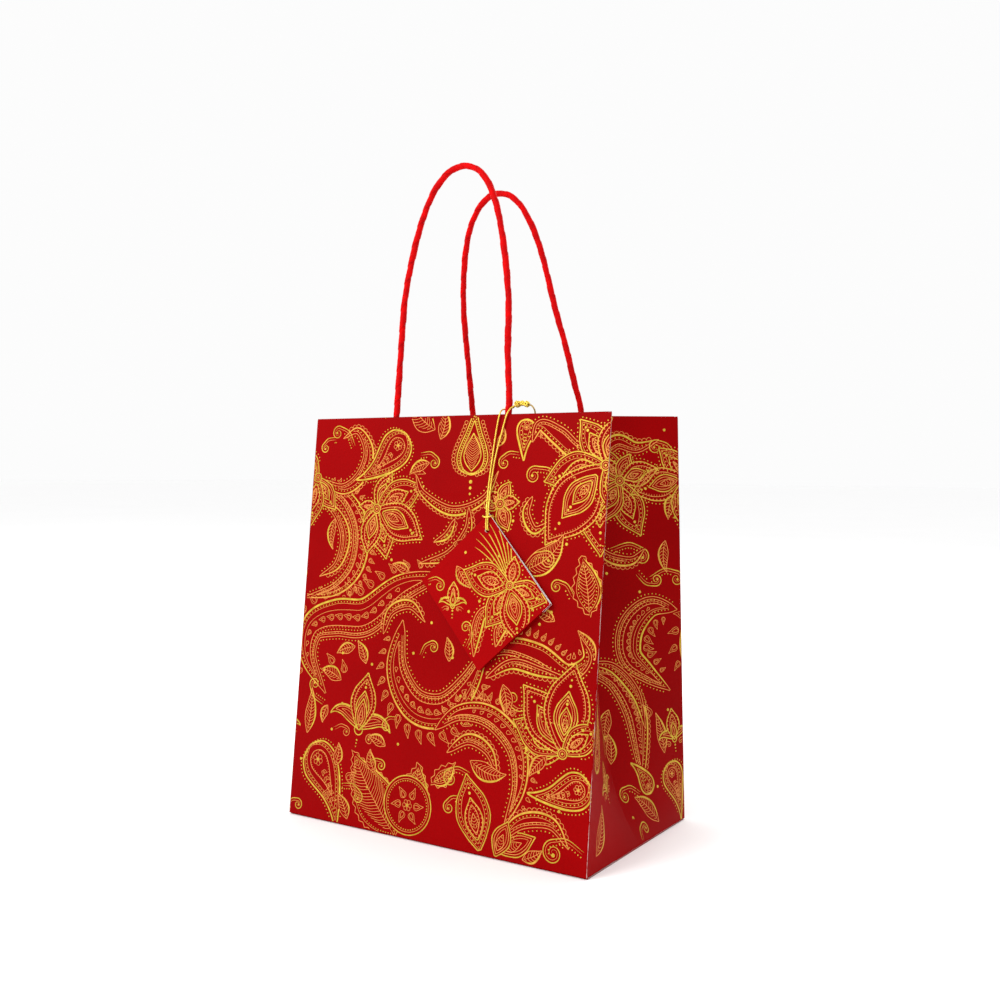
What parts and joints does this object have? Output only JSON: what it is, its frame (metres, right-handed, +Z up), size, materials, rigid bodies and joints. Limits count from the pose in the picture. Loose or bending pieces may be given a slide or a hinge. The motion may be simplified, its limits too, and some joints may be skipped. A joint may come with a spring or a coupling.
{
  "type": "gift bag",
  "caption": "Gusseted paper gift bag with a scroll print, turned-in mouth, twisted-paper loop handles that fold over, and a folded card tag hanging on a thin cord.",
  "frame": {"origin": "middle of the base, on the surface that the bag stands on", "axes": "+Z up, +X to the right across the front, the front panel with the tag faces -Y"},
  "size_m": [0.18, 0.109, 0.3408],
  "materials": {
    "printed_paper": "satin coated, with a metallic gold line print",
    "white_paper": "matte",
    "white_card": "matte",
    "grey_board": "matte",
    "handle_paper": "matte, twisted",
    "gold_cord": "metallic, braided",
    "tag_card": "satin coated, with a metallic gold line print"
  },
  "bodies": {
    "bag": {"front_panel": "printed_paper", "back_panel": "printed_paper", "right_gusset_front": "printed_paper", "right_gusset_back": "printed_paper", "left_gusset_front": "printed_paper", "left_gusset_back": "printed_paper", "base_outer_flap": "printed_paper", "base_inner_flap": "printed_paper", "base_side_tucks": "printed_paper", "base_board": "grey_board", "side_seam": "white_paper", "front_hem": "printed_paper", "back_hem": "printed_paper", "right_gusset_hem": "printed_paper", "left_gusset_hem": "printed_paper", "front_stiffener": "white_card", "back_stiffener": "white_card", "front_patch": "white_paper", "back_patch": "white_paper", "front_handle_ends": "handle_paper", "front_handle_bends": "handle_paper", "back_handle_ends": "handle_paper", "back_handle_bends": "handle_paper"},
    "front_handle": {"front_handle": "handle_paper"},
    "back_handle": {"back_handle": "handle_paper"},
    "tag_cord": {"tag_cord_loop": "gold_cord", "tag_cord_knot": "gold_cord", "tag_cord_strands": "gold_cord"},
    "tag": {"tag_hitch": "gold_cord", "tag_back_leaf": "tag_card"},
    "tag_cover": {"tag_front_leaf": "tag_card"}
  },
  "joints": [
    {"name": "front_handle_fold", "type": "hinge", "parent": "bag", "child": "front_handle", "pos_m": [0, -0.02935, 0.21405], "axis": [1, 0, 0], "range_deg": [-7, 80], "deforming": ["front_handle_bends", "tag_cord_loop"]},
    {"name": "back_handle_fold", "type": "hinge", "parent": "bag", "child": "back_handle", "pos_m": [0, 0.03849, 0.21492], "axis": [-1, 0, 0], "range_deg": [-7, 90], "deforming": ["back_handle_bends"]},
    {"name": "tag_swing", "type": "hinge", "parent": "bag", "child": "tag_cord", "pos_m": [0, -0.02935, 0.21405], "axis": [-1, 0, 0], "range_deg": [0, 40]},
    {"name": "tag_tilt", "type": "hinge", "parent": "tag_cord", "child": "tag", "pos_m": [0.02665, -0.04071, 0.16064], "axis": [-1, 0, 0], "range_deg": [0, 40], "deforming": ["tag_hitch"]},
    {"name": "tag_open", "type": "hinge", "parent": "tag", "child": "tag_cover", "pos_m": [0.027, -0.03928, 0.1623], "axis": [-0.7373, -0.0701, -0.6719], "range_deg": [0, 60]}
  ]
}
